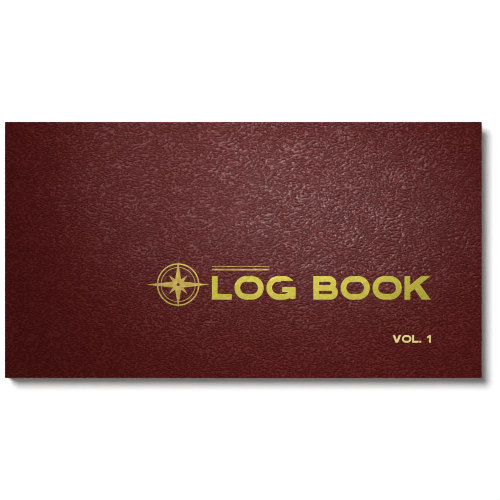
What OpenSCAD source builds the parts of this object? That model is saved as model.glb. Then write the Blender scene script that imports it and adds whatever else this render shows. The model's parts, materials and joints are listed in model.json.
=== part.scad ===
// A landscape casebound logbook, lying closed on its back cover.
// +X runs from the spine to the fore edge, +Y from tail to head, +Z from the back cover to the front.
// The origin is on the back cover's outer face, in the middle of the closed book.
// The front half is the back half mirrored about the plane half way through the book.

/* [Book] */
// Width of the closed book, from the spine to the fore edge of the covers
book_w = 254; // [200:1:300]
// Height of the covers, from tail to head
book_h = 136.5; // [110:0.5:180]
// Thickness of the closed book over the cloth of both covers
book_t = 12; // [11.5:0.1:14]

/* [Case] */
// Thickness of the leather-grained covering cloth
cloth_t = 0.4; // [0.3:0.05:0.5]
// Thickness of the two cover boards
board_t = 2; // [1.6:0.1:2.2]
// Thickness of the stiff card strip in the spine
inlay_t = 1.5; // [1:0.1:1.6]
// Thickness of the paper that lines the inside of the spine
spine_paper_t = 0.2; // [0.1:0.05:0.3]
// Free gap between the spine panel and the sewn pages
hollow_w = 0.5; // [0.4:0.05:0.8]
// Width of the cloth that is turned in over a board's edges
turn_in_w = 15; // [10:1:20]
// Radius of the covers' corners at the fore edge
corner_r = 1; // [0.5:0.1:3]

/* [Pages] */
// How far the covers stand past the pages at head, tail and fore edge
overhang = 3.2; // [2:0.1:5]
// Thickness of one ledger leaf
leaf_t = 0.12; // [0.1:0.01:0.14]
// Thickness of one whole sewn section
section_t = 0.9; // [0.6:0.05:1]
// Thickness of the endpapers
endpaper_t = 0.15; // [0.1:0.01:0.2]
// Clearance between pages that turn on their own
page_gap = 0.04; // [0.02:0.01:0.05]

/* [Binding] */
// Thickness of the kraft paper on the back of the sewn pages
kraft_t = 0.2; // [0.1:0.05:0.3]
// Thickness of the open-weave mull under the kraft paper
mull_t = 0.2; // [0.1:0.05:0.3]
// Diameter of the sewing thread
thread_d = 0.3; // [0.2:0.05:0.4]
// Diameter of the bead on the head and tail bands
band_d = 1; // [0.8:0.1:1.4]
// Length of a band's tape down the pages' back
band_tape = 10; // [6:1:12]

/* [Foil] */
// Thickness of the stamped foil
foil_t = 0.05; // [0.03:0.01:0.1]
// Height of the title's capitals
title_cap = 12.5; // [8:0.5:14]
// Height of the volume mark's capitals
volume_cap = 4; // [3:0.5:5]
// Place of the title's bottom left corner, from the book's middle
title_at = [-16.7, -26.4]; // [-60:0.1:60]
// Place of the volume mark's bottom right corner, from the book's middle
volume_at = [99.8, -49.3]; // [-60:0.1:110]
// Place of the emblem's middle, from the book's middle
emblem_at = [-34.7, -18.4]; // [-60:0.1:60]
// Radius of the emblem's ring
ring_r = 11.3; // [8:0.1:12]
// Length of the double rule over the title
rule_l = 30.6; // [10:0.1:80]

/* [Hidden] */
$fn = 64;
SECTIONS = 6;
LEAVES = 6;
half_leaves = LEAVES / 2;

over = 1;                                  // how far a cutting body runs past what it cuts
joint_gap = 0.02;                          // clearance between the cloths at a mitred corner
spine_x = -book_w / 2;                     // the spine's outer face
fore_x = book_w / 2;                       // the covers' fore edge
board_x = spine_x + 2.5;                   // the boards' spine edge
board_low = cloth_t;
board_high = board_low + board_t;
turned_high = board_high + cloth_t;        // the turned-in cloth's inner face
cover_t = turned_high + endpaper_t;        // a whole cover, endpaper included

spine_t = cloth_t + inlay_t + spine_paper_t;
kraft_x = spine_x + spine_t + hollow_w;
mull_x = kraft_x + kraft_t;
thread_x = mull_x + mull_t;
fold_x = thread_x + thread_d;              // the folds of the sections
page_x = fore_x - overhang - 0.1;          // the pages' fore edge
page_h = book_h - 2 * overhang;
bind_h = page_h - 10;                      // mull and kraft stop short of head and tail

mid_z = book_t / 2;
flyleaf_low = cover_t + page_gap;
outer_low = flyleaf_low + endpaper_t + page_gap / 2;
middle_low = outer_low + section_t + page_gap;
inner_low = middle_low + section_t + page_gap;
inner_high = mid_z - page_gap / 2 - half_leaves * (leaf_t + page_gap);
back_low = cover_t + page_gap;             // where the bindings on the pages' back begin
back_high = mid_z - page_gap / 2;          // and where they part at the open middle

// ---- helpers -------------------------------------------------------------

// Puts a shape of the back half in the front half.
module on_front() {
    translate([0, 0, book_t]) mirror([0, 0, 1]) children();
}

// Page i of a stack counted from the front: the last half lies in the back half as drawn.
module from_front(i, count) {
    if (i > count / 2) children();
    else on_front() children();
}

// A sheet from x0 to x1 and z0 to z1, h high, square cornered.
module sheet(x0, x1, z0, z1, h) {
    translate([x0, -h / 2, z0]) cube([x1 - x0, h, z1 - z0]);
}

// A sheet whose two corners at x1 are rounded.
module rounded_sheet(x0, x1, z0, z1, h, r) {
    sheet(x0, x1 - r, z0, z1, h);
    sheet(x1 - 2 * r, x1, z0, z1, h - 2 * r);
    for (side = [-1, 1])
        translate([x1 - r, side * (h / 2 - r), z0]) cylinder(h = z1 - z0, r = r);
}

// ---- the case ------------------------------------------------------------

// The cloth of one cover: outer face, wrapped edges and turned-in border, mitred at the spine.
module cover_cloth() {
    inner_r = corner_r - cloth_t;
    difference() {
        rounded_sheet(spine_x, fore_x, 0, turned_high, book_h, corner_r);
        rounded_sheet(board_x, fore_x - cloth_t, board_low, board_high, book_h - 2 * cloth_t, inner_r);
        sheet(board_x, fore_x - turn_in_w, board_low, turned_high + over, book_h - 2 * turn_in_w);
        sheet(spine_x - over, board_x, board_low, turned_high + over, book_h + 2 * over);
        spine_mitre();
    }
}

// What the 45 degree mitre takes off a cover's cloth at the spine corner.
module spine_mitre() {
    reach = cloth_t + over;
    translate([spine_x + joint_gap, (book_h + 2 * over) / 2, 0])
        rotate([90, 0, 0])
            linear_extrude(book_h + 2 * over)
                polygon([[-reach, -reach], [reach, reach], [-reach, reach]]);
}

module cover_board() {
    rounded_sheet(board_x, fore_x - cloth_t, board_low, board_high, book_h - 2 * cloth_t, corner_r - cloth_t);
}

// The endpaper's glued half: it lies on the turned-in cloth and steps down onto the board inside it.
module pastedown() {
    edge = 1.6;
    window_x = fore_x - turn_in_w;
    window_h = book_h - 2 * turn_in_w;
    difference() {
        union() {
            sheet(board_x, fore_x - edge, turned_high, cover_t, book_h - 2 * edge);
            sheet(board_x, window_x, board_high, turned_high, window_h);
        }
        sheet(board_x - over, window_x - endpaper_t, board_high + endpaper_t, cover_t + over,
              window_h - 2 * endpaper_t);
    }
}

// The spine's strip of cloth, mitred at both ends to meet the covers' cloths.
module spine_cloth() {
    color([0.32, 0.09, 0.09])
        translate([spine_x, book_h / 2, 0])
            rotate([90, 0, 0])
                linear_extrude(book_h)
                    polygon([
                        [0, joint_gap],
                        [cloth_t, cloth_t + joint_gap],
                        [cloth_t, book_t - cloth_t - joint_gap],
                        [0, book_t - joint_gap]
                    ]);
}

module spine_inlay() {
    color([0.62, 0.58, 0.5])
        sheet(spine_x + cloth_t, spine_x + cloth_t + inlay_t, 2 * cloth_t, book_t - 2 * cloth_t,
              book_h - 2 * cloth_t);
}

module spine_paper() {
    color([0.72, 0.55, 0.36])
        sheet(spine_x + cloth_t + inlay_t, spine_x + spine_t, 3 * cloth_t, book_t - 3 * cloth_t, bind_h);
}

module back_cloth() { color([0.35, 0.1, 0.1]) cover_cloth(); }
module front_cloth() { color([0.35, 0.1, 0.1]) on_front() cover_cloth(); }
module back_board() { color([0.62, 0.58, 0.5]) cover_board(); }
module front_board() { color([0.62, 0.58, 0.5]) on_front() cover_board(); }
module back_pastedown() { color([0.93, 0.9, 0.82]) pastedown(); }
module front_pastedown() { color([0.93, 0.9, 0.82]) on_front() pastedown(); }

// ---- the pages -----------------------------------------------------------

// A folded section, its fold half round.
module folded(low, high) {
    t = high - low;
    sheet(fold_x + t / 2, page_x, low, high, page_h);
    translate([fold_x + t / 2, 0, low + t / 2])
        rotate([90, 0, 0]) cylinder(h = page_h, d = t, center = true);
}

// Depth of a section's two faces, by its place from the nearer cover: 1 is outermost.
function section_faces(place) =
    place == 1 ? [outer_low, outer_low + section_t] :
    place == 2 ? [middle_low, middle_low + section_t] :
    [inner_low, inner_high];

function place_of(i, count) = min(i, count + 1 - i);

module section(i) {
    faces = section_faces(place_of(i, SECTIONS));
    color([0.95, 0.93, 0.86]) from_front(i, SECTIONS) folded(faces[0], faces[1]);
}

// The long stitches that hold section i, laid along its fold between the sewing stations.
module thread(i) {
    faces = section_faces(place_of(i, SECTIONS));
    stitch_l = 30;
    pitch = 38;
    color([0.9, 0.88, 0.8])
        from_front(i, SECTIONS)
            for (k = [-1 : 1])
                translate([fold_x - thread_d / 2, k * pitch, (faces[0] + faces[1]) / 2])
                    rotate([90, 0, 0]) cylinder(h = stitch_l, d = thread_d, center = true, $fn = 16);
}

// A single ledger leaf of the sections at the open middle.
module leaf(i) {
    place = place_of(i, LEAVES);
    low = inner_high + page_gap + (place - 1) * (leaf_t + page_gap);
    color([0.96, 0.94, 0.87]) from_front(i, LEAVES) sheet(fold_x, page_x, low, low + leaf_t, page_h);
}

module flyleaf() {
    sheet(fold_x, page_x, flyleaf_low, flyleaf_low + endpaper_t, page_h);
}

module back_flyleaf() { color([0.93, 0.9, 0.82]) flyleaf(); }
module front_flyleaf() { color([0.93, 0.9, 0.82]) on_front() flyleaf(); }

// ---- the binding on the pages' back --------------------------------------

module mull() {
    sheet(mull_x, thread_x, back_low, back_high, bind_h);
}

module kraft() {
    sheet(kraft_x, mull_x, back_low, back_high, bind_h - 4);
}

// A band at the pages' head (end 1) or tail (end -1): a bead on a tape glued down their back.
module band(end) {
    bead_y = page_h / 2 + 0.1 + band_d / 2;
    tape_t = 0.2;
    mirror([0, end > 0 ? 0 : 1, 0]) {
        translate([thread_x + band_d / 2, bead_y, back_low]) cylinder(h = back_high - back_low, d = band_d);
        translate([thread_x, bead_y - band_tape, back_low]) cube([tape_t, band_tape, back_high - back_low]);
    }
}

module back_mull() { color([0.92, 0.9, 0.84]) mull(); }
module front_mull() { color([0.92, 0.9, 0.84]) on_front() mull(); }
module back_kraft() { color([0.72, 0.55, 0.36]) kraft(); }
module front_kraft() { color([0.72, 0.55, 0.36]) on_front() kraft(); }
module back_headband() { color([0.55, 0.12, 0.12]) band(1); }
module back_tailband() { color([0.55, 0.12, 0.12]) band(-1); }
module front_headband() { color([0.55, 0.12, 0.12]) on_front() band(1); }
module front_tailband() { color([0.55, 0.12, 0.12]) on_front() band(-1); }

// ---- the foil on the front cover -----------------------------------------
// Letters are drawn one unit high, on a base line at y = 0, and scaled to their capital height.

stroke = 0.24;
tracking = 0.12;
title_word = ["L", "O", "G", " ", "B", "O", "O", "K"];
volume_word = ["V", "O", "L", ".", " ", "1"];

function letter_w(c) =
    c == "O" || c == "G" ? 1.24 :
    c == "K" || c == "V" ? 1.12 :
    c == "B" ? 1.04 :
    c == "L" ? 0.84 :
    c == "." ? stroke :
    0.52;

// Where letter i of a word starts, in units of its height.
function pen(word, i) = i == 0 ? 0 : pen(word, i - 1) + letter_w(word[i - 1]) + tracking;
function word_w(word) = pen(word, len(word)) - tracking;

// A bar with half-round ends, its lower left at the origin.
module stadium(w, h) {
    translate([h / 2, 0]) square([w - h, h]);
    for (x = [h / 2, w - h / 2])
        translate([x, h / 2]) circle(d = h);
}

// A bar with a half-round right end.
module bowl(w, h) {
    square([w - h / 2, h]);
    translate([w - h / 2, h / 2]) circle(d = h);
}

module letter_o(w) {
    difference() {
        stadium(w, 1);
        translate([stroke, stroke]) stadium(w - 2 * stroke, 1 - 2 * stroke);
    }
}

module letter_g(w) {
    bar_y = 0.32;
    difference() {
        letter_o(w);
        translate([w / 2, bar_y + stroke / 2]) square([w, 0.36]);
    }
    translate([w * 0.54, bar_y]) square([w * 0.46, stroke * 0.9]);
    translate([w - stroke, 0.04]) square([stroke, bar_y]);
}

module letter_b(w) {
    lobe = 0.5 + stroke / 2;
    hole = lobe - 2 * stroke;
    difference() {
        union() {
            bowl(w, lobe);
            translate([0, 1 - lobe]) bowl(w * 0.94, lobe);
        }
        translate([stroke, stroke]) bowl(w - 2 * stroke, hole);
        translate([stroke, 1 - lobe + stroke]) bowl(w * 0.94 - 2 * stroke, hole);
    }
}

module letter_k(w) {
    square([stroke, 1]);
    polygon([[stroke, 0.3], [w * 0.98, 1], [w * 0.63, 1], [stroke, 0.62]]);
    polygon([[w * 0.34, 0.52], [w * 0.66, 0], [w, 0], [w * 0.56, 0.68]]);
}

module letter_l(w) {
    square([stroke, 1]);
    square([w, stroke]);
}

module letter_v(w) {
    polygon([[0, 1], [w * 0.36, 0], [w * 0.64, 0], [w, 1], [w * 0.74, 1], [w * 0.5, 0.32], [w * 0.26, 1]]);
}

module figure_one(w) {
    polygon([[w - stroke, 0], [w, 0], [w, 1], [w - stroke * 0.8, 1], [0, 0.78], [0, 0.56], [w - stroke, 0.7]]);
}

module glyph(c) {
    w = letter_w(c);
    if (c == "O") letter_o(w);
    if (c == "G") letter_g(w);
    if (c == "B") letter_b(w);
    if (c == "K") letter_k(w);
    if (c == "L") letter_l(w);
    if (c == "V") letter_v(w);
    if (c == "1") figure_one(w);
    if (c == ".") square(stroke);
}

module set_word(word, cap) {
    for (i = [0 : len(word) - 1])
        translate([pen(word, i) * cap, 0])
            linear_extrude(foil_t)
                scale(cap) glyph(word[i]);
}

module foil_title() {
    color([0.78, 0.76, 0.24]) translate([title_at[0], title_at[1], book_t]) set_word(title_word, title_cap);
}

module foil_volume() {
    left = volume_at[0] - word_w(volume_word) * volume_cap;
    color([0.78, 0.76, 0.24]) translate([left, volume_at[1], book_t]) set_word(volume_word, volume_cap);
}

// A thick and a thin rule above the title.
module foil_rule() {
    lift = title_cap + 3;
    color([0.78, 0.62, 0.28])
        translate([title_at[0], title_at[1] + lift, book_t]) {
            cube([rule_l, 0.9, foil_t]);
            translate([0, 2, 0]) cube([rule_l, 0.4, foil_t]);
        }
}

module ring(r, w) {
    difference() {
        circle(r);
        circle(r - w);
    }
}

// One point of the compass rose, from its middle out along +X.
module ray(l, half) {
    polygon([[0, 0], [half, -half], [l, 0], [half, half]]);
}

// A compass rose of eight points in a double ring.
module foil_emblem() {
    east = ring_r * 1.47;
    north = ring_r * 1.08;
    corner = ring_r * 0.62;
    color([0.8, 0.64, 0.3])
        translate([emblem_at[0], emblem_at[1], book_t])
            linear_extrude(foil_t)
                difference() {
                    union() {
                        ring(ring_r, 0.7);
                        ring(ring_r * 0.82, 0.35);
                        for (a = [0, 180]) rotate(a) ray(east, 1.7);
                        for (a = [90, 270]) rotate(a) ray(north, 1.7);
                        for (a = [45 : 90 : 315]) rotate(a) ray(corner, 1.3);
                    }
                    circle(0.8);
                }
}

// ---- drawing -------------------------------------------------------------

back_cloth();
back_board();
back_pastedown();
back_flyleaf();
back_mull();
back_kraft();
spine_cloth();
spine_inlay();
spine_paper();
front_cloth();
front_board();
front_pastedown();
front_flyleaf();
front_mull();
front_kraft();
back_headband();
back_tailband();
front_headband();
front_tailband();
for (i = [1 : SECTIONS]) {
    section(i);
    thread(i);
}
for (i = [1 : LEAVES])
    leaf(i);
foil_title();
foil_rule();
foil_emblem();
foil_volume();
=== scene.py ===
"""Looks of a casebound logbook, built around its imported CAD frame.

Lengths are in metres. X runs from the spine to the fore edge, Y from tail to head, Z from the back
cover to the front one. Shapes of the back half are drawn from the bottom up; the front half is the
same drawing mirrored about the plane half way through the book.
"""

import json
import math
import random

import bmesh
import bpy
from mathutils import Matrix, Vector

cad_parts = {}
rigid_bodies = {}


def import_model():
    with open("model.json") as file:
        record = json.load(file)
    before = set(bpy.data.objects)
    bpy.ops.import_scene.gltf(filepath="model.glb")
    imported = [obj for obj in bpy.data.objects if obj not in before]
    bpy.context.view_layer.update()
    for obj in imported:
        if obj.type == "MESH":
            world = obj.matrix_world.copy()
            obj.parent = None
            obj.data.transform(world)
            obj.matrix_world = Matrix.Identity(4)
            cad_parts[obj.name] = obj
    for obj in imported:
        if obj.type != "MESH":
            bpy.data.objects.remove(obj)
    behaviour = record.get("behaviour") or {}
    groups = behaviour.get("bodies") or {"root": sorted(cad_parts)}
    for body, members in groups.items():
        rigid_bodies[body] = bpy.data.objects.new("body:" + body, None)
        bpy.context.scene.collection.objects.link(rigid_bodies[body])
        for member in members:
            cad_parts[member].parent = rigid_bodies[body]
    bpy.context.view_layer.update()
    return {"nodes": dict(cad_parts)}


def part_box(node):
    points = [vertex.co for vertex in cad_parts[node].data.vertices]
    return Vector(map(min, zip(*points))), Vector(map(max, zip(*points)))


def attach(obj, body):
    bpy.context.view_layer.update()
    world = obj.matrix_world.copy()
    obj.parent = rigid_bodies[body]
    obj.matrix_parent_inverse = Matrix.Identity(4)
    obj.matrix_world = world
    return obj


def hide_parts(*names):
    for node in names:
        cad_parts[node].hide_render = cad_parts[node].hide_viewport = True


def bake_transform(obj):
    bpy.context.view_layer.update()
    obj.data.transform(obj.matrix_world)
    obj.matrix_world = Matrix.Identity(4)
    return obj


for stray in list(bpy.data.objects):
    bpy.data.objects.remove(stray)
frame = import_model()

MM = 0.001
ROOT = "back_cover_and_pages"

# ---- places read from the frame --------------------------------------------

case_low, case_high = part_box("back_cloth")
board_low, board_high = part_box("back_board")
inlay_low, inlay_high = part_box("spine_inlay")
page_low, page_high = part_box("section_6")

SPINE_X, FORE_X = case_low.x, case_high.x
HALF_H = case_high.y
BOOK_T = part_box("front_cloth")[1].z
CLOTH_T = board_low.z
TURNED_Z = case_high.z                      # the turned-in cloth's inner face
BOARD_X = board_low.x
FOLD_X, PAGE_X = page_low.x, page_high.x
PAGE_HALF_H = page_high.y

TURN_IN = 15 * MM                           # width of the covers' turned-in cloth
SPINE_TURN_IN = 8 * MM                      # and of the spine's
LEG_Z = 1.8 * MM                            # where a cover's cloth ends on the spine's face
GRAIN_DEPTH = 0.50                          # height of the cloth's grain, in millimetres
SHARP_ANGLE = math.radians(35)              # edges that turn by more than this are shaded as sharp


# ---- mesh building ---------------------------------------------------------

class Shapes:
    """Closed shapes gathered into one mesh."""

    def __init__(self):
        self.verts = []
        self.faces = []

    def add(self, verts, faces):
        first = len(self.verts)
        self.verts += verts
        self.faces += [[first + i for i in face] for face in faces]

    def make(self, name, flipped=False):
        mesh = bpy.data.meshes.new(name)
        mesh.from_pydata(self.verts, [], self.faces)
        bm = bmesh.new()
        bm.from_mesh(mesh)
        return finish_mesh(name, bm, flipped)


def finish_mesh(name, bm, flipped=False):
    """Turns bm into an object; flipped mirrors it into the front half of the book."""
    if flipped:
        for v in bm.verts:
            v.co.z = BOOK_T - v.co.z
    bmesh.ops.recalc_face_normals(bm, faces=bm.faces)
    mesh = bpy.data.meshes.new(name)
    bm.to_mesh(mesh)
    bm.free()
    mesh.polygons.foreach_set("use_smooth", [True] * len(mesh.polygons))
    mesh.set_sharp_from_angle(angle=SHARP_ANGLE)
    obj = bpy.data.objects.new(name, mesh)
    bpy.context.scene.collection.objects.link(obj)
    return obj


def slab(low, high):
    """A bmesh box."""
    bm = bmesh.new()
    bmesh.ops.create_cube(bm, size=1)
    for v in bm.verts:
        v.co = [low[i] + (v.co[i] + 0.5) * (high[i] - low[i]) for i in range(3)]
    return bm


def near(a, b):
    """Whether two coordinates are the same, within a thousandth of a millimetre."""
    return abs(a - b) < 1e-6


def upright_at(x):
    """Chooses a slab's upright edges at x, for round_edges."""
    return lambda a, b: near(a.x, x) and near(b.x, x) and not near(a.z, b.z)


def round_edges(bm, radius, segments, chosen):
    """Rounds each edge whose two ends satisfy chosen(end, other_end)."""
    edges = [e for e in bm.edges if chosen(e.verts[0].co, e.verts[1].co)]
    bmesh.ops.bevel(bm, geom=edges, offset=radius, offset_type="OFFSET", segments=segments,
                    profile=0.5, affect="EDGES", clamp_overlap=True)


def cut_box(obj, low, high):
    """Takes a box out of obj."""
    cutter = finish_mesh("cutter", slab(low, high))
    cut = obj.modifiers.new("cut", "BOOLEAN")
    cut.operation = "DIFFERENCE"
    cut.solver = "EXACT"
    cut.object = cutter
    graph = bpy.context.evaluated_depsgraph_get()
    mesh = bpy.data.meshes.new_from_object(obj.evaluated_get(graph))
    obj.modifiers.clear()
    obj.data = mesh
    bpy.data.objects.remove(cutter)


def even_shading(obj):
    """Keeps large flat faces flat in shading where they meet rounded edges."""
    obj.data.set_sharp_from_angle(angle=SHARP_ANGLE)
    weighted = obj.modifiers.new("even shading", "WEIGHTED_NORMAL")
    weighted.keep_sharp = True


def steps(start, stop, count):
    """Evenly spaced values from start to stop, count + 1 of them."""
    return [start + (stop - start) * i / count for i in range(count + 1)]


def ribbon(path, thickness, ys):
    """A sheet whose middle line in the XZ plane is path, with stations ys along Y."""
    verts = []
    last = len(path) - 1
    for k, (x, z) in enumerate(path):
        ahead, behind = path[min(k + 1, last)], path[max(k - 1, 0)]
        along = Vector((ahead[0] - behind[0], ahead[1] - behind[1])).normalized()
        for side in (0.5, -0.5):
            offset = side * thickness
            verts += [(x - along.y * offset, y, z + along.x * offset) for y in ys]
    return verts, strip_faces(len(path), len(ys))


def strip_faces(stations, across):
    """Faces of a closed sheet whose vertices run station by station, first side then second."""
    def at(k, side, j):
        return (2 * k + side) * across + j

    faces = []
    for k in range(stations - 1):
        for side in (0, 1):
            for j in range(across - 1):
                near_end = [at(k, side, j), at(k, side, j + 1)]
                far_end = [at(k + 1, side, j + 1), at(k + 1, side, j)]
                faces.append(near_end + far_end)
        for j in (0, across - 1):
            faces.append([at(k, 0, j), at(k + 1, 0, j), at(k + 1, 1, j), at(k, 1, j)])
    for k in (0, stations - 1):
        for j in range(across - 1):
            faces.append([at(k, 0, j), at(k, 1, j), at(k, 1, j + 1), at(k, 0, j + 1)])
    return faces


def draped(xs, ys, height, thickness):
    """A sheet over a grid, its lower face at height(x, y)."""
    verts = []
    for x in xs:
        for lift in (0, thickness):
            verts += [(x, y, height(x, y) + lift) for y in ys]
    return verts, strip_faces(len(xs), len(ys))


def tube(points, radii, sides):
    """A closed tube through points; radii gives its radius at each."""
    verts, faces = [], []
    last = len(points) - 1
    for k, point in enumerate(points):
        along = (Vector(points[min(k + 1, last)]) - Vector(points[max(k - 1, 0)])).normalized()
        first = along.cross(Vector((1, 0, 0.01))).normalized()
        second = along.cross(first)
        for j in range(sides):
            a = 2 * math.pi * j / sides
            verts.append(tuple(Vector(point) + radii[k] * (math.cos(a) * first + math.sin(a) * second)))
    for k in range(last):
        for j in range(sides):
            n = (j + 1) % sides
            faces.append([k * sides + j, k * sides + n, (k + 1) * sides + n, (k + 1) * sides + j])
    faces.append(list(range(sides)))
    faces.append([last * sides + j for j in range(sides)])
    return verts, faces


def box_shape(low, high):
    """A box as vertices and faces."""
    verts = [(x, y, z) for x in (low[0], high[0]) for y in (low[1], high[1]) for z in (low[2], high[2])]
    faces = [[0, 1, 3, 2], [4, 6, 7, 5], [0, 4, 5, 1], [2, 3, 7, 6], [0, 2, 6, 4], [1, 5, 7, 3]]
    return verts, faces


def keep_rest_place(obj):
    """Stores each vertex's place, so that a pattern stays put when the piece bends."""
    place = obj.data.attributes.new("rest_place", "FLOAT_VECTOR", "POINT")
    place.data.foreach_set("vector", [c for v in obj.data.vertices for c in v.co])


def lay_page_uv(obj):
    """U runs from the fold to the fore edge and V from tail to head, both 0 to 1."""
    layer = obj.data.uv_layers.new(name="page")
    width, height = PAGE_X - FOLD_X, 2 * PAGE_HALF_H
    for loop in obj.data.loops:
        co = obj.data.vertices[loop.vertex_index].co
        layer.data[loop.index].uv = ((co.x - FOLD_X) / width, (co.y + PAGE_HALF_H) / height)


# ---- shader building -------------------------------------------------------

class Graph:
    """A material's node tree, with short calls that return output sockets."""

    def __init__(self, name):
        self.material = bpy.data.materials.new(name)
        self.material.use_nodes = True
        self.tree = self.material.node_tree
        self.shader = self.tree.nodes["Principled BSDF"]

    def plug(self, value, socket):
        """Links value to socket if it is an output socket, and otherwise sets it."""
        if isinstance(value, bpy.types.NodeSocket):
            self.tree.links.new(value, socket)
        else:
            socket.default_value = value

    def node(self, kind, settings=None, **inputs):
        """A new node; inputs are named as on the node, with _ for a space."""
        made = self.tree.nodes.new("ShaderNode" + kind)
        for key, value in (settings or {}).items():
            setattr(made, key, value)
        for key, value in inputs.items():
            self.plug(value, made.inputs[key.replace("_", " ")])
        return made

    def math(self, operation, *values, clamp=False):
        made = self.node("Math", {"operation": operation, "use_clamp": clamp})
        for socket, value in zip(made.inputs, values):
            self.plug(value, socket)
        return made.outputs[0]

    def object_place(self, scale):
        """Object coordinates, times scale."""
        place = self.node("TexCoord").outputs["Object"]
        return self.scaled(place, scale)

    def rest_place(self, scale):
        """The place stored by keep_rest_place, times scale."""
        place = self.node("Attribute", {"attribute_name": "rest_place"}).outputs["Vector"]
        return self.scaled(place, scale)

    def scaled(self, vector, scale):
        made = self.node("VectorMath", {"operation": "SCALE"}, Vector=vector, Scale=scale)
        return made.outputs[0]

    def shifted(self, vector, by, amount):
        """vector moved by the colour by, centred, times amount."""
        centred = self.node("VectorMath", {"operation": "SUBTRACT"})
        self.plug(by, centred.inputs[0])
        centred.inputs[1].default_value = (0.5, 0.5, 0.5)
        sized = self.scaled(centred.outputs[0], amount)
        total = self.node("VectorMath", {"operation": "ADD"})
        self.plug(vector, total.inputs[0])
        self.plug(sized, total.inputs[1])
        return total.outputs[0]

    def noise(self, vector, scale, detail=2.0, roughness=0.5, output="Fac"):
        made = self.node("TexNoise", Vector=vector, Scale=scale, Detail=detail, Roughness=roughness)
        return made.outputs[output]

    def cells(self, vector, scale):
        """Distance to the nearest edge between Voronoi cells."""
        made = self.node("TexVoronoi", {"feature": "DISTANCE_TO_EDGE"}, Vector=vector, Scale=scale)
        return made.outputs["Distance"]

    def ramp(self, value, low, high, to_low=0.0, to_high=1.0):
        """value from low..high to to_low..to_high, smoothly."""
        made = self.node("MapRange", {"interpolation_type": "SMOOTHSTEP"}, Value=value, From_Min=low,
                         From_Max=high, To_Min=to_low, To_Max=to_high)
        return made.outputs["Result"]

    def between(self, value, low, high):
        """1 where value lies between low and high, and 0 elsewhere."""
        above = self.math("GREATER_THAN", value, low)
        below = self.math("LESS_THAN", value, high)
        return self.math("MULTIPLY", above, below)

    def mix(self, factor, first, second):
        """The colour first where factor is 0 and second where it is 1."""
        made = self.node("Mix", {"data_type": "RGBA"})
        for name, value in (("Factor_Float", factor), ("A_Color", first), ("B_Color", second)):
            socket = next(s for s in made.inputs if s.identifier == name)
            self.plug(value, socket)
        return next(s for s in made.outputs if s.identifier == "Result_Color")

    def bump(self, height, distance, strength=1.0):
        made = self.node("Bump", Height=height, Distance=distance, Strength=strength)
        self.plug(made.outputs[0], self.shader.inputs["Normal"])

    def set(self, **values):
        """Sets the shader's sockets."""
        for key, value in values.items():
            self.plug(value, self.shader.inputs[key.replace("_", " ")])


def rgb(red, green, blue):
    """A linear colour."""
    return (red, green, blue, 1.0)


def grain(g, place):
    """Leather grain: pebbles lying in short ripples. Returns their height, 0 in the valleys to 1 on top."""
    drift = g.noise(place, 0.045, 1.0, output="Color")
    wander = g.noise(place, 0.3, 1.0, output="Color")
    lying = g.node("Mapping", Vector=g.shifted(place, drift, 8.0), Rotation=(0.0, 0.0, math.radians(16)),
                   Scale=(0.76, 1.22, 1.22)).outputs[0]
    bent = g.shifted(lying, wander, 0.8)
    pebble = g.node("TexVoronoi", {"feature": "SMOOTH_F1"}, Vector=bent, Scale=0.95, Smoothness=0.35)
    dome = g.ramp(pebble.outputs["Distance"], 0.05, 0.62, 1.0, 0.0)
    ripple = g.noise(bent, 0.9, 0.0)
    return g.math("ADD", g.math("MULTIPLY", dome, 0.5), g.math("MULTIPLY", g.ramp(ripple, 0.3, 0.7), 0.5))


def leathercloth():
    """Maroon coated cloth: embossed grain with fine pores and a few long creases, with painted shade in the
    grain's valleys.
    """
    g = Graph("leathercloth")
    place = g.rest_place(1 / MM)
    pebbles = grain(g, place)
    slanted = g.node("Mapping", Vector=place, Rotation=(0.0, 0.0, math.radians(-14)),
                     Scale=(0.05, 0.018, 0.05)).outputs[0]
    lines = g.math("ABSOLUTE", g.math("SUBTRACT", g.noise(slanted, 1.0, 3.0, 0.45), 0.5))
    sparse = g.ramp(g.noise(place, 0.03, 2.0), 0.50, 0.60)
    crease = g.math("MULTIPLY", g.ramp(lines, 0.0, 0.010, 1.0, 0.0), sparse)
    pores = g.math("MULTIPLY", g.noise(place, 4.0, 2.0), 0.012)
    height = g.math("ADD", g.math("MULTIPLY", pebbles, GRAIN_DEPTH), pores)
    g.bump(g.math("SUBTRACT", height, g.math("MULTIPLY", crease, 0.12)), MM)

    mottle = g.noise(place, 0.09, 4.0, 0.6)
    ground = g.mix(g.ramp(mottle, 0.3, 0.7), rgb(0.122, 0.0134, 0.0124), rgb(0.142, 0.0162, 0.0150))
    # painted shade: the base colour darkens towards near-black maroon in the grain's valleys, standing in
    # for the shade that a slanting light casts there
    painted_valley_shade = g.math("MULTIPLY", g.ramp(pebbles, 0.2, 0.6, 1.0, 0.0), 0.58)
    colour = g.mix(painted_valley_shade, ground, rgb(0.055, 0.0050, 0.0046))
    rough = g.ramp(pebbles, 0.2, 0.8, 0.52, 0.41)
    shine = g.ramp(pebbles, 0.3, 0.7, 0.20, 0.66)
    g.set(Base_Color=colour, Roughness=rough, IOR=1.5, Specular_IOR_Level=shine)
    return g.material


def foil(name, first, second, metallic):
    """Stamped metal foil, matt from the grain that it is pressed into."""
    g = Graph(name)
    place = g.object_place(1 / MM)
    wander = g.noise(place, 0.45, 2.0, output="Color")
    pebbles = g.ramp(g.cells(g.shifted(place, wander, 2.2), 0.62), 0.0, 0.32)
    g.bump(pebbles, 0.05 * MM)
    tone = g.ramp(g.noise(place, 0.6, 3.0), 0.3, 0.7)
    worn = g.ramp(g.noise(place, 3.0, 2.0), 0.66, 0.72, 0.0, 0.35)
    colour = g.mix(worn, g.mix(tone, first, second), rgb(0.12, 0.05, 0.02))
    rough = g.ramp(pebbles, 0.0, 1.0, 0.5, 0.36)
    g.set(Base_Color=colour, Metallic=metallic, Roughness=rough)
    return g.material


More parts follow.
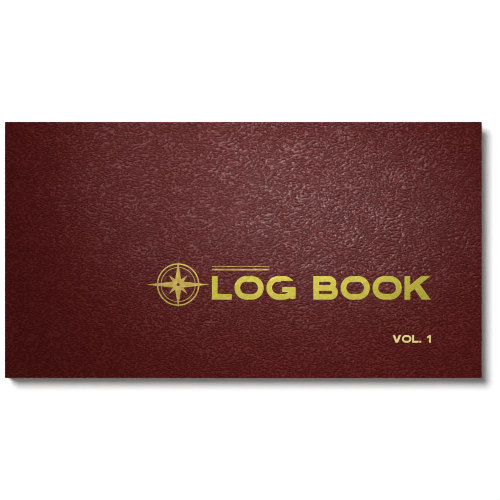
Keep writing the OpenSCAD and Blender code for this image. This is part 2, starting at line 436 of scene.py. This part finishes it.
def paper_base(g, place, light, dark):
    """Fibrous paper: returns its colour and sets a faint tooth."""
    tangle = g.node("TexNoise", Vector=place, Scale=1.6, Detail=6.0, Roughness=0.7, Distortion=1.2)
    fibres = tangle.outputs["Fac"]
    cloud = g.noise(place, 0.05, 3.0)
    g.bump(fibres, 0.02 * MM, 0.6)
    blend = g.math("ADD", g.math("MULTIPLY", fibres, 0.6), g.math("MULTIPLY", cloud, 0.4))
    return g.mix(g.ramp(blend, 0.35, 0.65), dark, light)


def plain_paper(name, light, dark, roughness=0.85):
    """Unprinted paper."""
    g = Graph(name)
    colour = paper_base(g, g.object_place(1 / MM), light, dark)
    g.set(Base_Color=colour, Roughness=roughness, Specular_IOR_Level=0.3)
    return g.material


def ledger_paper():
    """Cream paper ruled for entries: pale lines, a header band and column rules."""
    g = Graph("ledger_paper")
    width, height = (PAGE_X - FOLD_X) / MM, 2 * PAGE_HALF_H / MM
    uv = g.node("UVMap", {"uv_map": "page"}).outputs[0]
    split = g.node("SeparateXYZ", Vector=uv)
    across = g.math("MULTIPLY", split.outputs["X"], width)
    up = g.math("MULTIPLY", split.outputs["Y"], height)
    place = g.node("CombineXYZ", X=across, Y=up).outputs[0]
    paper = paper_base(g, place, rgb(0.86, 0.82, 0.70), rgb(0.80, 0.75, 0.62))

    def rule(value, at, half_width):
        """1 on a line where value is at, and 0 elsewhere."""
        return g.math("COMPARE", value, at, half_width)

    margin, foot, head, header = 9.0, 8.0, height - 9.0, height - 20.0
    pitch = 7.0
    fine, column, bold = 0.09, 0.12, 0.22       # half widths of the printed lines
    inside = g.between(up, foot - 0.1, header + 0.1)
    beside = g.between(across, margin, width - margin)
    wave = g.math("PINGPONG", g.math("SUBTRACT", up, foot), pitch / 2)
    lines = g.math("MULTIPLY", g.math("LESS_THAN", wave, fine), inside)
    for level in (header, head):
        lines = g.math("MAXIMUM", lines, rule(up, level, bold))
    lines = g.math("MULTIPLY", lines, beside)
    columns = rule(across, margin, column)
    for share in (0.13, 0.23, 0.33, 0.72, 0.83):
        columns = g.math("MAXIMUM", columns, rule(across, share * width, column))
    columns = g.math("MAXIMUM", columns, rule(across, width - margin, column))
    columns = g.math("MULTIPLY", columns, g.between(up, foot, head))
    band = g.between(up, header, head)
    band = g.math("MULTIPLY", g.math("MULTIPLY", band, beside), 0.3)
    colour = g.mix(band, paper, rgb(0.42, 0.55, 0.42))
    colour = g.mix(g.math("MULTIPLY", lines, 0.75), colour, rgb(0.23, 0.40, 0.36))
    colour = g.mix(g.math("MULTIPLY", columns, 0.8), colour, rgb(0.45, 0.14, 0.11))
    g.set(Base_Color=colour, Roughness=0.8, Specular_IOR_Level=0.3)
    return g.material


def greyboard():
    """Grey board of pressed fibres, in faint layers."""
    g = Graph("greyboard")
    place = g.object_place(1 / MM)
    flecks = g.ramp(g.noise(place, 1.1, 5.0, 0.75), 0.35, 0.7)
    pressed = g.node("Mapping", Vector=place, Scale=(0.25, 0.25, 4.0)).outputs[0]
    layers = g.ramp(g.noise(pressed, 1.0, 3.0), 0.4, 0.6)
    g.bump(flecks, 0.05 * MM)
    colour = g.mix(flecks, rgb(0.30, 0.26, 0.21), rgb(0.45, 0.41, 0.34))
    colour = g.mix(g.math("MULTIPLY", layers, 0.2), colour, rgb(0.22, 0.19, 0.16))
    g.set(Base_Color=colour, Roughness=0.92, Specular_IOR_Level=0.25)
    return g.material


def gauze():
    """Stiffened open-weave cotton: two crossed sets of yarns over dark gaps."""
    g = Graph("gauze")
    place = g.object_place(1 / MM)
    split = g.node("SeparateXYZ", Vector=place)
    yarns = []
    yarn_pitch = 0.9
    for axis in ("Y", "Z"):
        wave = g.math("SINE", g.math("MULTIPLY", split.outputs[axis], 2 * math.pi / yarn_pitch))
        yarns.append(g.ramp(wave, -0.1, 0.7))
    weave = g.math("MAXIMUM", *yarns)
    fuzz = g.noise(place, 6.0, 4.0)
    g.bump(g.math("ADD", weave, g.math("MULTIPLY", fuzz, 0.2)), 0.1 * MM)
    yarn = g.mix(fuzz, rgb(0.66, 0.62, 0.52), rgb(0.82, 0.78, 0.68))
    g.set(Base_Color=g.mix(weave, rgb(0.38, 0.30, 0.20), yarn), Roughness=0.95, Specular_IOR_Level=0.2)
    return g.material


def cotton_thread():
    """Pale sewing thread with lint."""
    g = Graph("cotton_thread")
    place = g.object_place(1 / MM)
    lint = g.noise(place, 9.0, 4.0, 0.7)
    g.bump(lint, 0.03 * MM)
    g.set(Base_Color=g.mix(lint, rgb(0.66, 0.62, 0.50), rgb(0.86, 0.83, 0.74)), Roughness=0.9,
          Specular_IOR_Level=0.25)
    return g.material


def band_silk():
    """Head band thread, wound in two colours by turns."""
    g = Graph("band_silk")
    place = g.object_place(1 / MM)
    split = g.node("SeparateXYZ", Vector=place)
    stripe_pitch, strand_pitch = 1.5, 0.25
    turns = g.math("SINE", g.math("MULTIPLY", split.outputs["Z"], 2 * math.pi / stripe_pitch))
    stripe = g.ramp(turns, -0.15, 0.15)
    strands = g.math("SINE", g.math("MULTIPLY", split.outputs["Z"], 2 * math.pi / strand_pitch))
    lint = g.noise(place, 8.0, 3.0)
    g.bump(g.math("ADD", strands, lint), 0.02 * MM)
    red = g.mix(lint, rgb(0.20, 0.012, 0.014), rgb(0.34, 0.03, 0.03))
    cream = g.mix(lint, rgb(0.70, 0.62, 0.44), rgb(0.86, 0.80, 0.64))
    g.set(Base_Color=g.mix(stripe, red, cream), Roughness=0.6, Sheen_Weight=0.3)
    return g.material


LEATHER = leathercloth()
FOIL_GOLD = foil("foil_gold", rgb(0.50, 0.44, 0.040), rgb(0.60, 0.51, 0.055), 0.35)
FOIL_WARM = foil("foil_warm", rgb(0.50, 0.33, 0.065), rgb(0.62, 0.45, 0.10), 0.35)
FOIL_DIM = foil("foil_dim", rgb(0.34, 0.19, 0.055), rgb(0.42, 0.25, 0.08), 0.35)
FOIL_PALE = foil("foil_pale", rgb(0.95, 0.76, 0.27), rgb(0.98, 0.85, 0.38), 0.1)
ENDPAPER = plain_paper("endpaper", rgb(0.84, 0.79, 0.66), rgb(0.76, 0.70, 0.57))
KRAFT = plain_paper("kraft_paper", rgb(0.46, 0.30, 0.16), rgb(0.36, 0.22, 0.11), 0.8)
LEDGER = ledger_paper()
BOARD = greyboard()
GAUZE = gauze()
THREAD = cotton_thread()
SILK = band_silk()


def finish_piece(obj, material, slot, *nodes):
    """Gives a piece its material and hides the CAD nodes it stands for; slot is not used."""
    obj.data.materials.clear()
    obj.data.materials.append(material)
    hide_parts(*nodes)
    return obj


# ---- the case --------------------------------------------------------------

EDGE_R = 0.8 * MM                           # the cloth's bend over a board's outer edge
CORNER_R = 0.6 * MM                         # corners in plan
INNER_R = 0.35 * MM                         # the bend where the cloth turns inside


def cover_cloth(name, flipped):
    """One cover's cloth with its turned-in border, bent round the spine corner to meet the spine's."""
    bm = slab((SPINE_X, -HALF_H, 0), (FORE_X, HALF_H, TURNED_Z))
    round_edges(bm, CORNER_R, 6, upright_at(FORE_X))

    def outer(a, b):
        on_face = near(a.z, 0) and near(b.z, 0)
        return on_face or upright_at(SPINE_X)(a, b)

    round_edges(bm, EDGE_R, 6, outer)
    round_edges(bm, INNER_R, 3, lambda a, b: near(a.z, TURNED_Z) and near(b.z, TURNED_Z)
                and not (near(a.x, SPINE_X) and near(b.x, SPINE_X)))
    cloth = finish_mesh(name, bm)
    past = 5 * MM                           # how far a cut reaches past the cloth
    hair = 0.02 * MM                        # keeps the faces of two cuts apart
    inner_h = HALF_H - CLOTH_T
    joint_x = BOARD_X + hair
    cut_box(cloth, (BOARD_X, -inner_h, CLOTH_T), (FORE_X - CLOTH_T, inner_h, board_high.z))
    cut_box(cloth, (SPINE_X - past, -HALF_H + TURN_IN, board_high.z - CLOTH_T),
            (FORE_X - TURN_IN, HALF_H - TURN_IN, TURNED_Z + past))
    cut_box(cloth, (SPINE_X - past, -HALF_H - past, LEG_Z), (joint_x, HALF_H + past, TURNED_Z + past))
    cut_box(cloth, (SPINE_X + CLOTH_T, -HALF_H - past, 2 * CLOTH_T), (joint_x, HALF_H + past, LEG_Z + past))
    cut_box(cloth, (SPINE_X + CLOTH_T, -HALF_H + SPINE_TURN_IN, CLOTH_T),
            (joint_x + hair, HALF_H - SPINE_TURN_IN, LEG_Z))
    bm = bmesh.new()
    bm.from_mesh(cloth.data)
    bpy.data.objects.remove(cloth)
    cloth = finish_mesh(name, bm, flipped)
    even_shading(cloth)
    keep_rest_place(cloth)
    return cloth


def blend_start_end(flipped):
    """The bend in the cloth at a spine corner: where it leaves the cover and where it joins the spine."""
    on_cover = Vector((SPINE_X + 0.78 * MM, 0, 0))
    on_spine = Vector((SPINE_X + 0.045 * MM, 0, 0.441 * MM))
    if flipped:
        on_cover.z = BOOK_T - on_cover.z
        on_spine.z = BOOK_T - on_spine.z
    return on_cover, on_spine


def spine_cloth():
    """The spine's cloth, turned in over the strip's ends; its face stops where the covers' cloth begins."""
    high_x = inlay_high.x + CLOTH_T
    bm = slab((SPINE_X, -HALF_H, inlay_low.z), (high_x, HALF_H, inlay_high.z))
    round_edges(bm, EDGE_R, 6, upright_at(SPINE_X))
    cloth = finish_mesh("spine_skin", bm)
    past = 5 * MM                           # how far a cut reaches past the cloth
    inner_h = HALF_H - CLOTH_T
    turned_h = HALF_H - SPINE_TURN_IN
    for low_z, high_z in ((-past, LEG_Z), (BOOK_T - LEG_Z, BOOK_T + past)):
        cut_box(cloth, (SPINE_X - past, -HALF_H - past, low_z), (inlay_low.x, HALF_H + past, high_z))
    cut_box(cloth, (inlay_low.x, -inner_h, -past), (inlay_high.x, inner_h, BOOK_T + past))
    cut_box(cloth, (inlay_high.x - CLOTH_T, -turned_h, -past), (high_x + past, turned_h, BOOK_T + past))
    even_shading(cloth)
    keep_rest_place(cloth)
    return cloth


def crushed_board(name, node):
    """A board with its cut edges slightly crushed."""
    low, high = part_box(node)
    bm = slab(low, high)
    round_edges(bm, 0.22 * MM, 3, lambda a, b: True)
    return finish_mesh(name, bm)


def pastedown(name, flipped):
    """Endpaper glued over the turned-in cloth, stepping down onto the board inside its border."""
    low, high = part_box("back_pastedown")
    window_x = FORE_X - TURN_IN
    window_y = HALF_H - TURN_IN
    ramp_w = 1.3 * MM
    thickness = high.z - TURNED_Z

    def height(x, y):
        inside = min(window_x - x, window_y - abs(y)) / ramp_w
        t = min(max(inside, 0.0), 1.0)
        return TURNED_Z - (TURNED_Z - board_high.z) * t * t * (3 - 2 * t)

    def stations(edge, window):
        """From the window's edge outwards and inwards, close together on the step."""
        return steps(window - ramp_w, window, 8) + steps(window, edge, 3)[1:]

    xs = steps(low.x, window_x - ramp_w, 12)[:-1] + stations(high.x, window_x)
    top = stations(high.y, window_y)
    ys = [-y for y in reversed(top)] + steps(-window_y + ramp_w, window_y - ramp_w, 8)[1:-1] + top
    sheet = Shapes()
    sheet.add(*draped(xs, ys, height, thickness))
    return sheet.make(name, flipped)


front_cloth = finish_piece(cover_cloth("front_skin", True), LEATHER, "cover_cloth", "front_cloth")
back_cloth = finish_piece(cover_cloth("back_skin", False), LEATHER, "cover_cloth", "back_cloth")
spine = finish_piece(spine_cloth(), LEATHER, "cover_cloth", "spine_cloth")
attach(spine, "spine_panel")
blend_start_end(True)
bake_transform(front_cloth)
blend_start_end(False)
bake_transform(back_cloth)

for name, node, body in (("front_board_core", "front_board", "front_cover"),
                         ("back_board_core", "back_board", ROOT),
                         ("spine_strip", "spine_inlay", "spine_panel")):
    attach(finish_piece(crushed_board(name, node), BOARD, "board", node), body)

for side, body in (("front", "front_cover"), ("back", ROOT)):
    sheet = pastedown(side + "_endsheet", side == "front")
    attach(finish_piece(sheet, ENDPAPER, "endpaper", side + "_pastedown"), body)


# ---- the pages -------------------------------------------------------------

PAGE_STATIONS = 28
MID_FOLD_X = SPINE_X + 2.57 * MM            # just clear of the axis that the pages turn about
chance = random.Random(7)


def trim(edge):
    """An edge as the guillotine leaves it, within a few hundredths of a millimetre."""
    return edge - chance.uniform(0.0, 0.07) * MM


def folded_sheet(low, high, thickness):
    """One ledger sheet folded about the spine: lower leaf, round fold, upper leaf."""
    radius = (high - low - thickness) / 2
    middle = (low + high) / 2
    fold = FOLD_X + (high - low) / 2
    lower = [(x, middle - radius) for x in steps(trim(PAGE_X), fold, PAGE_STATIONS)]
    upper = [(x, middle + radius) for x in steps(fold, trim(PAGE_X), PAGE_STATIONS)]
    angles = steps(0, math.pi, 12)[1:-1]
    turn = [(fold - radius * math.sin(a), middle - radius * math.cos(a)) for a in angles]
    return lower + turn + upper


def section(number):
    """Nested folded sheets, as a folded section has."""
    node = f"section_{number}"
    low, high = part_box(node)
    leaf_pitch = 0.1125 * MM
    sheets = round((high.z - low.z) / leaf_pitch / 2)
    pitch = (high.z - low.z) / sheets / 2
    thickness = 0.8 * pitch
    pages = Shapes()
    for k in range(sheets):
        inset = k * pitch
        path = folded_sheet(low.z + inset, high.z - inset, thickness)
        path = [(x + inset if x < FOLD_X + 2 * MM else x, z) for x, z in path]
        half = trim(PAGE_HALF_H)
        pages.add(*ribbon(path, thickness, steps(-half, half, 2)))
    obj = pages.make(f"pages_{number}")
    lay_page_uv(obj)
    return finish_piece(obj, LEDGER, "ledger_paper", node)


def single(name, node, material, slot):
    """A flat leaf."""
    low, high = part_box(node)
    middle = (low.z + high.z) / 2
    path = [(x, middle) for x in steps(low.x, trim(high.x), PAGE_STATIONS)]
    half = trim(PAGE_HALF_H)
    leaf = Shapes()
    leaf.add(*ribbon(path, 0.9 * (high.z - low.z), steps(-half, half, 2)))
    obj = leaf.make(name)
    lay_page_uv(obj)
    return finish_piece(obj, material, slot, node)


def middle_fold(number):
    """The paper between the two middle leaves, which hides the lining when the book lies open."""
    thickness, apart = 0.012 * MM, 0.02 * MM
    above_middle = 0.5 if number == 3 else -0.5
    z = BOOK_T / 2 + above_middle * apart
    path = [(x, z) for x in steps(MID_FOLD_X, FOLD_X + 0.3 * MM, 4)]
    strip = Shapes()
    strip.add(*ribbon(path, thickness, steps(-PAGE_HALF_H, PAGE_HALF_H, 2)))
    obj = strip.make(f"middle_fold_{number}")
    lay_page_uv(obj)
    obj.data.materials.append(LEDGER)
    return obj


def arch(obj):
    """Bakes the page's placing into its mesh; the page keeps its flat shape."""
    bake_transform(obj)


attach(section(1), "front_pages")
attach(section(6), ROOT)
for number in (2, 3):
    arch(section(number))
for number in (4, 5):
    arch(section(number))
for number in range(1, 7):
    leaf = single(f"page_{number}", f"leaf_{number}", LEDGER, "ledger_paper")
    arch(leaf)
for number in (3, 4):
    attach(middle_fold(number), f"turning_leaf_{number}")
for side, body in (("front", "front_pages"), ("back", ROOT)):
    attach(single(side + "_free_endpaper", side + "_flyleaf", ENDPAPER, "endpaper"), body)


# ---- the binding on the pages' back ----------------------------------------

def stitches(number):
    """Two-ply thread in three long stitches along a section's fold."""
    node = f"thread_{number}"
    low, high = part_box(node)
    radius = (high.x - low.x) / 2
    x, z = (low.x + high.x) / 2, (low.z + high.z) / 2
    stitch_l, pitch = 30 * MM, 38 * MM
    twist = 1.6 * MM
    stations = 110
    thread = Shapes()
    for k in (-1, 0, 1):
        for ply in (0, math.pi):
            points = []
            for y in steps(k * pitch - stitch_l / 2, k * pitch + stitch_l / 2, stations):
                a = ply + 2 * math.pi * y / twist
                points.append((x + 0.48 * radius * math.cos(a), y, z + 0.48 * radius * math.sin(a)))
            ends = [0.3 if i in (0, stations) else 1.0 for i in range(stations + 1)]
            thread.add(*tube(points, [0.5 * radius * e for e in ends], 6))
    return finish_piece(thread.make(f"stitching_{number}"), THREAD, "sewing_thread", node)


def wound_band(side, end):
    """A head or tail band: thread wound over a core, on a tape glued down the pages' back."""
    node = f"{side}_{end}band"
    low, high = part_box(node)
    flipped = end == "tail"
    radius = (high.x - low.x) / 2
    bead_y = low.y + radius if flipped else high.y - radius
    turn = 0.25 * MM
    zs = steps(low.z, high.z, 72)
    radii = [radius * (0.94 + 0.06 * math.cos(2 * math.pi * z / turn)) for z in zs]
    band = Shapes()
    band.add(*tube([(low.x + radius, bead_y, z) for z in zs], radii, 20))
    tape = sorted((bead_y, high.y if flipped else low.y))
    band.add(*box_shape((low.x, tape[0], low.z), (low.x + 0.2 * MM, tape[1], high.z)))
    return finish_piece(band.make(f"{side}_{end}band_wound"), SILK, "band_thread", node)


for number, body in enumerate(("front_pages", "turning_section_2", "turning_section_3", "turning_section_4",
                               "turning_section_5", ROOT), start=1):
    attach(stitches(number), body)
for side, body in (("front", "front_pages"), ("back", ROOT)):
    for end in ("head", "tail"):
        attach(wound_band(side, end), body)

CAD_FINISHES = {
    "front_mull": GAUZE, "back_mull": GAUZE,
    "front_kraft": KRAFT, "back_kraft": KRAFT, "spine_paper": KRAFT,
    "foil_title": FOIL_GOLD, "foil_volume": FOIL_PALE,
    "foil_emblem": FOIL_WARM, "foil_rule": FOIL_DIM,
}
for node, material in CAD_FINISHES.items():
    mesh = frame["nodes"][node].data
    mesh.materials.clear()
    mesh.materials.append(material)


# ---- the stage -------------------------------------------------------------

def floor():
    half = 6.0
    sheet = Shapes()
    sheet.add([(-half, -half, 0), (half, -half, 0), (half, half, 0), (-half, half, 0)], [[0, 1, 2, 3]])
    obj = sheet.make("floor")
    g = Graph("floor_white")
    g.set(Base_Color=rgb(0.9, 0.9, 0.9), Roughness=0.9, Specular_IOR_Level=0.0)
    obj.data.materials.append(g.material)
    return obj


def aim(obj, target):
    """Points obj at target, with its own X and Y along the scene's as near as they go."""
    direction = (Vector(target) - obj.location).normalized()
    obj.rotation_euler = (math.asin(direction.y), -math.atan2(direction.x, -direction.z), 0)


def lamp(name, kind, place, target, energy, **settings):
    data = bpy.data.lights.new(name, kind)
    data.energy = energy
    for key, value in settings.items():
        setattr(data, key, value)
    obj = bpy.data.objects.new(name, data)
    bpy.context.scene.collection.objects.link(obj)
    obj.location = place
    aim(obj, target)
    obj.visible_camera = False
    return obj


def soft_spot(name, place, target, energy, half_w, half_h, radius):
    """A spot that fades out from its middle; half_w and half_h are its beam's half sizes at target."""
    distance = (Vector(place) - Vector(target)).length
    spread = 2 * math.atan(half_w / distance)
    spot = lamp(name, "SPOT", place, target, energy, spot_size=spread, spot_blend=1.0,
                shadow_soft_size=radius)
    spot.scale = (1.0, half_h / half_w, 1.0)
    return spot


stage_floor = floor()
floor_only = bpy.data.collections.new("floor_only")
floor_only.objects.link(stage_floor)
book_only = bpy.data.collections.new("book_only")
book_only.objects.link(stage_floor)
book_only.collection_objects[0].light_linking.link_state = "EXCLUDE"

# the floor's own light: white, with a soft shadow to the right of the book and below it
floor_key = lamp("floor_key", "SUN", (-0.5, 0.5, 1.2), (0, 0, 0), 3.52, angle=math.radians(25))
floor_key.light_linking.receiver_collection = floor_only
floor_fill = lamp("floor_fill", "SUN", (0, 0, 1), (0, 0, 0), 0.45, use_shadow=False)
floor_fill.light_linking.receiver_collection = floor_only

# the book's light: even from above, a soft pool about the middle from the head's side, which models the
# grain, a small pair of lamps that shine in it, and rims for the spine and the fore edge
above = lamp("above", "SUN", (0.1, 0.1, 1), (0, 0, 0), 1.36, angle=math.radians(30))
lamps = [above]
for name, energy, x, y, half_w, half_h in (("pool", 5.4, 0.024, 0.012, 0.086, 0.050),
                                           ("wide_pool", 20.5, 0.018, 0.024, 0.168, 0.118)):
    lamps.append(soft_spot(name, (x - 0.10, y + 0.59, 0.40), (x, y, 0), energy, half_w, half_h, 0.02))
for name, energy, half_w in (("left_pool", 2.9, 0.086), ("wide_left_pool", 10.8, 0.145)):
    x = 2 * SPINE_X - 0.024                 # over the left half of the open book only
    lamps.append(soft_spot(name, (x, 0.04, 0.7), (x, 0.04, 0), energy, half_w, half_w, 0.05))
for light in lamps:
    light.visible_glossy = False
for name, energy, x, y, half_w, half_h in (("sheen", 10.5, 0.016, 0.032, 0.132, 0.099),
                                           ("sheen_core", 17.0, 0.042, 0.024, 0.080, 0.054)):
    sheen = soft_spot(name, (-0.14, 0.18, 0.5), (x, y, BOOK_T), energy, half_w, half_h, 0.02)
    sheen.visible_diffuse = False
    lamps.append(sheen)
for side in (-1, 1):
    rim = lamp(f"rim_{side}", "AREA", (side * 1.2, -0.8, 0.2), (0, 0, 0), 1.8, shape="RECTANGLE",
               size=0.2, size_y=0.8)
    rim.visible_glossy = False
    lamps.append(rim)
for light in lamps:
    light.light_linking.receiver_collection = book_only

world = bpy.data.worlds.new("studio")
world.use_nodes = True
background = world.node_tree.nodes["Background"]
background.inputs["Color"].default_value = rgb(1, 1, 1)
background.inputs["Strength"].default_value = 0.03
bpy.context.scene.world = world
bpy.context.scene.view_settings.view_transform = "Standard"
bpy.context.scene.cycles.filter_width = 1.0

camera_height = 1.3307                      # above the front cover
camera_data = bpy.data.cameras.new("camera")
camera_data.lens = 180
camera = bpy.data.objects.new("camera", camera_data)
bpy.context.scene.collection.objects.link(camera)
camera.location = (3.55 * MM, 0, BOOK_T + camera_height)
bpy.context.scene.camera = camera
